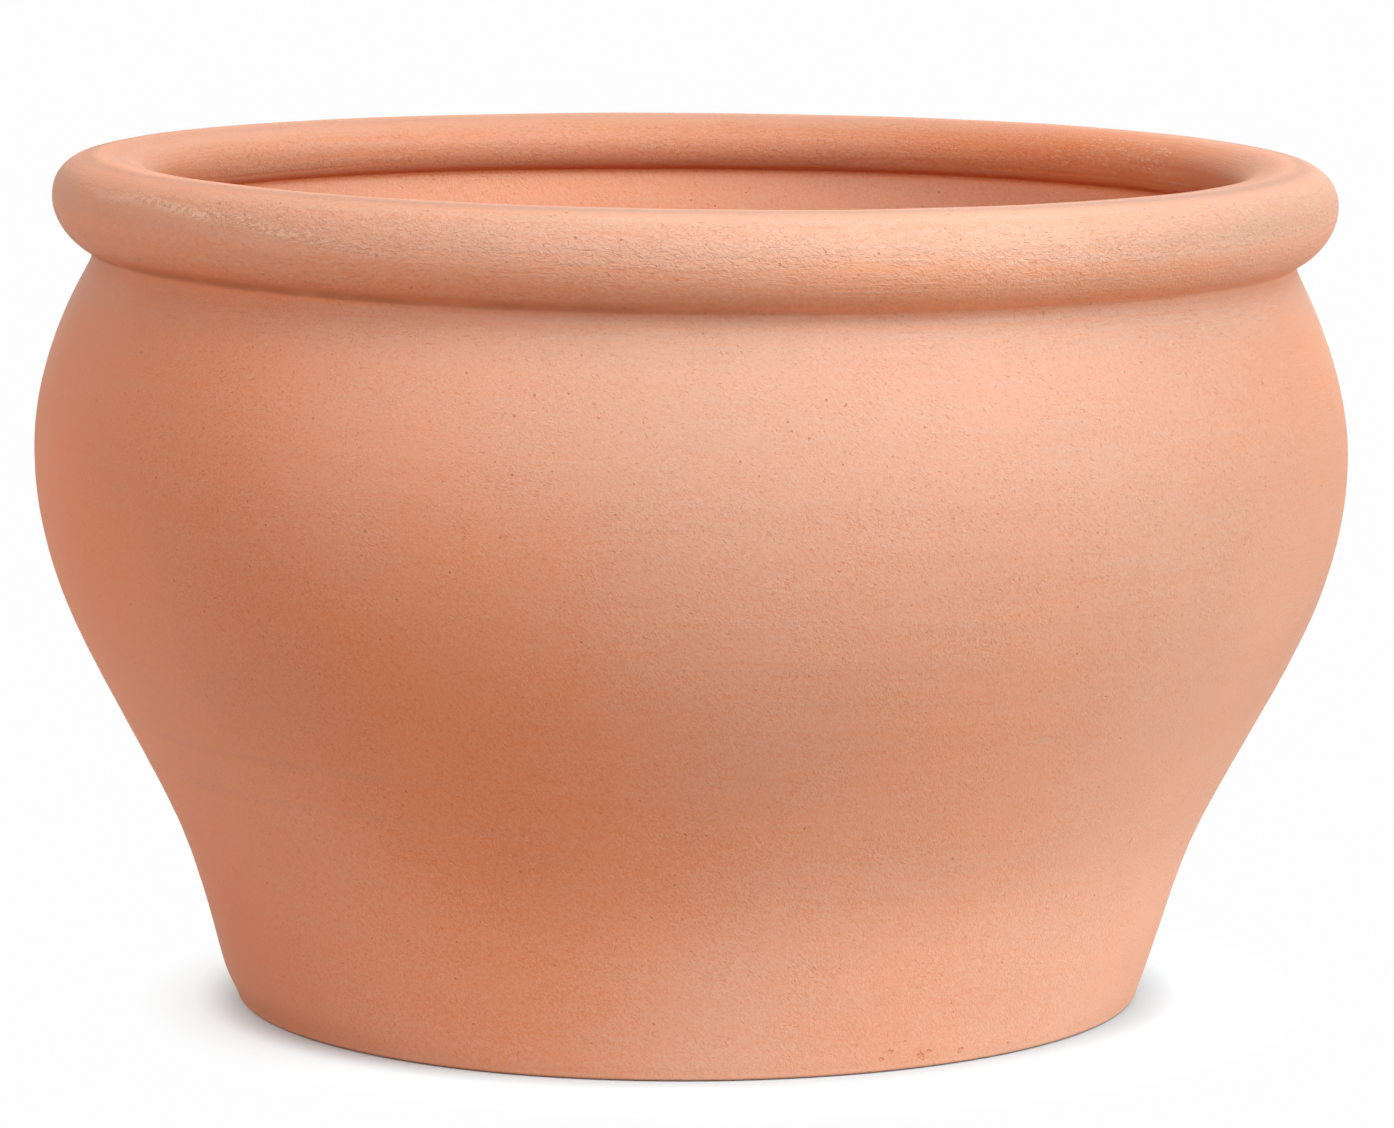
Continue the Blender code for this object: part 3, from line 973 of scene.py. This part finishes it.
class Clay:
    """A clay material as it is built up: its colour and its height grow with each effect."""

    def __init__(self, name):
        self.material = bpy.data.materials.new(name)
        self.material.use_nodes = True
        self.tree = self.material.node_tree
        self.point = place(self.tree, "ShaderNodeTexCoord")["Object"]
        swirl = place(self.tree, "ShaderNodeTexNoise", {"Vector": self.point, "Scale": 16.0, "Detail": 1.0})
        pushed = vector_calc("SUBTRACT", swirl["Color"], (0.5, 0.5, 0.5))
        self.swirled = vector_calc("ADD", self.point, stretched(pushed, SWIRL))
        broken = noise(self.point, 60.0)
        self.breaks = ramp(broken, -0.20, 0.05, 0.35, 1.0)
        self.patches = ramp(broken, -0.20, 0.20, 0.75, 1.25)
        self.shared = {
            "Coordinates": self.point,
            "Along": self.mark("along"),
            "Wander": swirl[0] - 0.5,
            "Rag": noise(self.point, 700.0, roughness=0.6),
        }
        self.lighter = self.mark("lighter")
        self.paler = self.mark("paler")
        self.colour = self.rough = self.height = None

    def mark(self, name):
        """A mark that the skin carries."""
        return place(self.tree, "ShaderNodeAttribute", attribute_name=name)["Fac"]

    def group(self, effect, **values):
        """One of the shared effects, with this clay's own values."""
        made = place(self.tree, "ShaderNodeGroup", node_tree=effect)
        inputs = made.node.inputs
        own = {label.replace("_", " ").title(): value for label, value in values.items()}
        shared = {label: value for label, value in self.shared.items() if label in inputs}
        for label, value in {**shared, **own}.items():
            feed(inputs[label], value)
        return made

    def tint(self, mask, strength, colour):
        """Lays a colour over the clay where the mask is."""
        self.colour = blend(calc("MULTIPLY", mask, strength, clamp=True), self.colour, colour)

    def near(self, degrees, height, reach):
        """How near the surface is to a place on the outside of the pot, 1 at the place itself."""
        turn, radius = math.radians(degrees), outer_line(min(height, NECK[0]))[0]
        centre = (radius * math.cos(turn), radius * math.sin(turn), height)
        return self.group(LIGHT_OR_SLIP_PLACE, coordinates=self.swirled, centre=centre, reach=reach)["Mark"]

    def paint_light_and_shade(self, marks, share=None):
        """Paints light and shade into the clay at the marks' places, all over or over the share of it that is
        given.
        """
        for degrees, height, reach, lighter, paler in marks.values():
            near = self.near(degrees, height, reach)
            if share:
                near = near * share
            self.lighter = calc("MULTIPLY_ADD", near, lighter, self.lighter)
            self.paler = calc("MULTIPLY_ADD", near, paler, self.paler)

    def raise_by(self, value, height):
        """Raises the surface by a height where the value is 1."""
        self.height = self.height + value * height

    def done(self):
        """Joins colour, roughness and the bump of the height to the shader."""
        shader = self.tree.nodes["Principled BSDF"]
        bump = place(self.tree, "ShaderNodeBump", {"Strength": 1.0, "Distance": 1.0, "Height": self.height})
        feed(shader.inputs["Base Color"], self.colour)
        feed(shader.inputs["Roughness"], self.rough)
        feed(shader.inputs["Normal"], bump["Normal"])
        feed(shader.inputs["Specular IOR Level"], CLAY_SPECULAR)
        return self.material


def fired_clay(name, marks=WALL_LIGHT_AND_TONE_MARKS, inside_marks=None, grain_tone=0.33, line_depth=0.00006, line_tone=0.4,
               **grain):
    """The body of the clay, which every piece starts from."""
    clay = Clay(name)
    # The marks paint light and shade into the clay.
    if inside_marks:
        within = ramp(clay.shared["Along"], *INSIDE_STARTS)
        clay.paint_light_and_shade(inside_marks, within)
        clay.paint_light_and_shade(marks, 1.0 - within)
    else:
        clay.paint_light_and_shade(marks)
    sand = clay.group(SAND, patches=clay.patches, **grain)
    lines = clay.group(LINES, line_depth=line_depth)
    paler = lines["Lines"] * line_tone + (sand["Grain"] * grain_tone + clay.paler)
    lighter = sand["Grain"] * (grain_tone * GRAIN_LIGHT) + clay.lighter
    clay.colour = clay.group(TONE, paler=paler, lighter=lighter)["Colour"]
    # The pits are darkened: painted shade in them.
    clay.tint(sand["Pits"], 0.55, PIT_SHADE_CLAY)
    clay.tint(clay.mark("rubbed"), 0.25, PALE_CLAY)
    clay.height = sand["Height"] + lines["Height"]
    rough = sand["Grain"] * GRAIN_ROUGHNESS + CLAY_ROUGHNESS
    clay.rough = calc("MULTIPLY_ADD", lines["Lines"], LINE_ROUGHNESS, rough, clamp=True)
    return clay


def add_tool_line(clay, level, width, height, tint=None, strength=0.3, **values):
    """Runs a tool's broken line round a clay: raised, or cut where the height is below 0, and tinted."""
    line = clay.group(TOOL_LINE, level=level, width=width, **values)["Line"] * clay.breaks
    clay.raise_by(line, height)
    if tint:
        clay.tint(line, strength, tint)


def add_knocks(clay, places, depth, tint, strength, **values):
    """Knocks chips into a clay, each given by its place and size."""
    for centre, size in places:
        knock = clay.group(KNOCK, centre=centre, size=size, **values)["Knock"]
        clay.raise_by(knock, -depth)
        clay.tint(knock, strength, tint)


def add_slip(clay, lower, upper, height, strength, tint=PALE_CLAY, within=None, **values):
    """Drags slip round a clay between two levels along the skin, all the way round or within a place."""
    slip = clay.group(SLIP, lower_edge=lower, upper_edge=upper, **values)["Slip"]
    if within:
        slip = slip * within
    clay.raise_by(slip, height)
    clay.tint(slip, strength, tint)


def shade_crease(clay):
    """Darkens the crease under the rim on its left: painted shade, a darker line just below the roll."""
    level = along_at("crease_out") + 0.0022
    add_tool_line(clay, level, width=0.0046, height=0.0, tint=SHADED_CLAY, strength=0.52, **CREASE_SIDE,
                  waver=0.001)


def slab_clay():
    """The clay of the floor and the foot, coarse, with small chips low on its front."""
    clay = fired_clay("fired slab clay", grain_tone=0.38, grain_depth=COARSE_GRAIN)
    # The chips are darkened inside: painted shade in their hollows.
    add_knocks(clay, FOOT_CHIPS, depth=0.0003, tint=HOLLOW_SHADE_CLAY, strength=0.5, raggedness=2.4)
    return clay.done()


def coil_clay():
    """The clay of the coil, with deeper lines from the thumb."""
    return fired_clay("fired coil clay", line_depth=0.00010).done()


def lower_wall_clay():
    """The coarse clay of the foot and the waist, with two worn rings on its left."""
    clay = fired_clay("fired lower wall clay", grain_tone=0.38, grain_depth=COARSE_GRAIN)
    for level, height, tint, strength, facing_width in WAIST_RINGS:
        add_tool_line(clay, level, width=0.0030, height=height, tint=tint, strength=strength,
                      facing=(-0.88, -0.47, 0.0), facing_width=facing_width, waver=0.004)
    return clay.done()


def upper_wall_clay():
    """The clay of the belly and the neck, with slip and tool lines under the rim."""
    clay = fired_clay("fired upper wall clay")
    add_tool_line(clay, FLANK_RING, width=0.0026, height=-0.00010, tint=GREY_RUB, strength=0.18,
                  facing=(-0.90, -0.43, 0.0), facing_width=0.40, waver=0.004)
    slip_starts = along_between(NECK_SLIP_HEIGHT, 0, MARKS["crease_out"])
    add_slip(clay, slip_starts, along_at("crease_out"), height=0.00002, strength=0.20, size=0.0009,
             stretch=7.0, slant=0.0, cover=0.5, edge_softness=0.006)
    shade_crease(clay)
    for level, strength in NECK_LINES:
        add_tool_line(clay, level, width=0.0007, height=-0.00004, tint=DEEP_CLAY, strength=strength)
    add_knocks(clay, WALL_KNOCKS, depth=0.0001, tint=PALE_CLAY, strength=0.5, flatness=2.5)
    return clay.done()


def rim_clay():
    """The clay of the rolled rim, brushed while it was wet, with slip, lime and chalk dried on it."""
    clay = fired_clay("fired rim clay", RIM_LIGHT_AND_TONE_MARKS, RIM_INSIDE_LIGHT_AND_TONE_MARKS, line_depth=0.00013, line_tone=1.0,
                      grain_depth=COARSE_GRAIN, grain_tone=0.34, stretch=1.9, slant=0.2)
    across = split(clay.point)[0]
    ledge = along_between(RIM_LEDGE_HEIGHT, MARKS["crease_out"], int(np.argmax(SKIN[:, 1])))

    # Slip and lime on the outer face, above the ledge and below it.
    low_edge = ramp(across, -0.085, -0.155, ledge, ledge + 0.0085)
    add_slip(clay, low_edge, ledge + 0.0150, height=0.00010, strength=0.14, cover=0.58, size=0.0012,
             stretch=1.8)
    smear = ramp(across, -0.080, -0.155, *SMEAR_LEVELS, kind="LINEAR")
    add_slip(clay, smear, smear + SMEAR_WIDTH, height=0.00016, strength=0.62, tint=LIME,
             within=clay.near(*SMEAR_PLACE), cover=0.66, size=0.0011, stretch=1.6, slant=-0.5,
             edge_softness=0.0030)
    add_slip(clay, along_at("crease_out") + 0.003, ledge, height=0.00005, strength=0.06, cover=0.55,
             size=0.0009, stretch=4.0, slant=0.0)
    shade_crease(clay)
    clay.raise_by(clay.group(TOOL_LINE, level=ledge, width=0.0034, waver=0.0012)["Ridge"], 0.00009)

    # Chalk and lime on the inside of the right end, and the lines in the inner crease, darkened as painted
    # shade.
    add_slip(clay, *CHALK_LEVELS, height=0.00012, strength=0.44, tint=CHALK, within=clay.near(*CHALK_PLACE),
             cover=0.36, size=0.0009, stretch=2.4, slant=0.0)
    bloom = clay.group(BLOOM, centre=(0.1480, 0.0850, 0.2520), reach=0.070, streak_width=0.0012, cover=0.34)
    clay.tint(bloom["Bloom"], 0.18, CHALK)
    for level, width, height, strength, waver in INNER_LINES:
        add_tool_line(clay, level, width, height, HOLLOW_SHADE_CLAY, strength, waver=waver)
    # The pits are darkened: painted shade in them.
    add_knocks(clay, RIM_PITS, depth=0.0002, tint=PIT_SHADE_CLAY, strength=0.6)
    return clay.done()


# The pot.


def build_pot():
    tree = turned_clay_tree()
    turned_piece(tree, "base_slab", "slab", slab_clay(), ring_depth=0.00006)
    turned_piece(tree, "corner_coil", "coil", coil_clay(), lump_depth=0.0009)
    turned_piece(tree, "lower_wall", "lower_wall", lower_wall_clay())
    turned_piece(tree, "upper_wall", "upper_wall", upper_wall_clay())
    turned_piece(tree, "rim_roll", "rim", rim_clay())


# Floor, light and view.


def looked_at(tree):
    """1 for the camera and in reflections, 0 for light that falls on the pot."""
    path = place(tree, "ShaderNodeLightPath")
    mirrored = calc("MAXIMUM", path["Is Glossy Ray"], path["Is Transmission Ray"])
    return calc("MAXIMUM", path["Is Camera Ray"], mirrored)


def floor_material():
    """White floor that keeps the soft shadow near the pot, with a painted shade close to its front, and goes
    over into the white background.
    """
    material = bpy.data.materials.new("pale floor")
    material.use_nodes = True
    tree = material.node_tree
    tree.nodes.remove(tree.nodes["Principled BSDF"])
    point = place(tree, "ShaderNodeTexCoord")["Object"]
    from_pot = vector_calc("LENGTH", point)
    from_shade = vector_calc("LENGTH", vector_calc("SUBTRACT", point, SHADE_CENTRE))
    open_sky = place(tree, "ShaderNodeAmbientOcclusion", {"Distance": CONTACT_REACH}, samples=6)["AO"]
    strength = calc("POWER", open_sky, CONTACT_POWER) * FLOOR_LIFT
    strength = strength * ramp(from_pot, *LIFT_STARTS) * ramp(from_shade, *CLOSE_SHADE)
    lit = place(tree, "ShaderNodeBsdfDiffuse", {"Color": FLOOR_COLOUR})[0]
    lift = place(tree, "ShaderNodeEmission", {"Color": WHITE, "Strength": strength})[0]
    near = place(tree, "ShaderNodeAddShader", {0: lit, 1: lift})[0]
    far = place(tree, "ShaderNodeEmission", {"Color": WHITE, "Strength": BACKGROUND})[0]
    seen = place(tree, "ShaderNodeMixShader", {0: ramp(from_shade, *SHADE_FADES), 1: near, 2: far})[0]
    bounce = ramp(from_pot, *BOUNCE_FADES, TABLE_BOUNCE, ROOM_BOUNCE)
    plain = place(tree, "ShaderNodeBsdfDiffuse", {"Color": joined(bounce, bounce, bounce)})[0]
    both = place(tree, "ShaderNodeMixShader", {0: looked_at(tree), 1: plain, 2: seen})[0]
    feed(tree.nodes["Material Output"].inputs["Surface"], both)
    return material


def build_floor():
    mesh = bpy.data.meshes.new("floor")
    turns = [2 * math.pi * i / FLOOR_SIDES for i in range(FLOOR_SIDES)]
    edge = [(FLOOR_REACH * math.cos(turn), FLOOR_REACH * math.sin(turn), FLOOR_LEVEL) for turn in turns]
    mesh.from_pydata(edge, [], [list(range(FLOOR_SIDES))])
    mesh.materials.append(floor_material())
    floor = added("floor", mesh)


def build_world():
    """White to the camera and in reflections, and a soft grey light for the rest."""
    world = bpy.data.worlds.new("studio")
    world.use_nodes = True
    tree = world.node_tree
    background = tree.nodes["Background"]
    strength = ramp(looked_at(tree), 0.0, 1.0, WORLD_LIGHT, BACKGROUND, kind="LINEAR")
    feed(background.inputs["Strength"], strength)
    feed(background.inputs["Color"], WHITE)
    bpy.context.scene.world = world


def build_lamps():
    target = Vector(LAMP_TARGET)
    for name, (right, up, watts, colour) in LAMPS.items():
        right, up = math.radians(right), math.radians(up)
        way = Vector((math.sin(right) * math.cos(up), -math.cos(right) * math.cos(up), math.sin(up)))
        data = bpy.data.lights.new(name, "AREA")
        data.shape = "SQUARE"
        data.size = LAMP_SIZE
        data.energy = watts
        data.color = colour
        lamp = added(name, data)
        lamp.location = target + way * LAMP_DISTANCE
        lamp.rotation_euler = (-way).to_track_quat("-Z", "Y").to_euler()
        lamp.visible_glossy = name not in LAMPS_WITHOUT_GLARE


def build_camera():
    data = bpy.data.cameras.new("camera")
    data.sensor_width = CAMERA_SENSOR
    data.lens = CAMERA_LENS
    data.clip_start, data.clip_end = CAMERA_CLIP
    camera = added("camera", data)
    camera.location = CAMERA_PLACE
    camera.rotation_euler = (math.radians(90.0 - CAMERA_PITCH), 0.0, 0.0)
    bpy.context.scene.camera = camera


build_pot()
build_floor()
build_world()
build_lamps()
build_camera()
bpy.context.scene.view_settings.view_transform = "Standard"
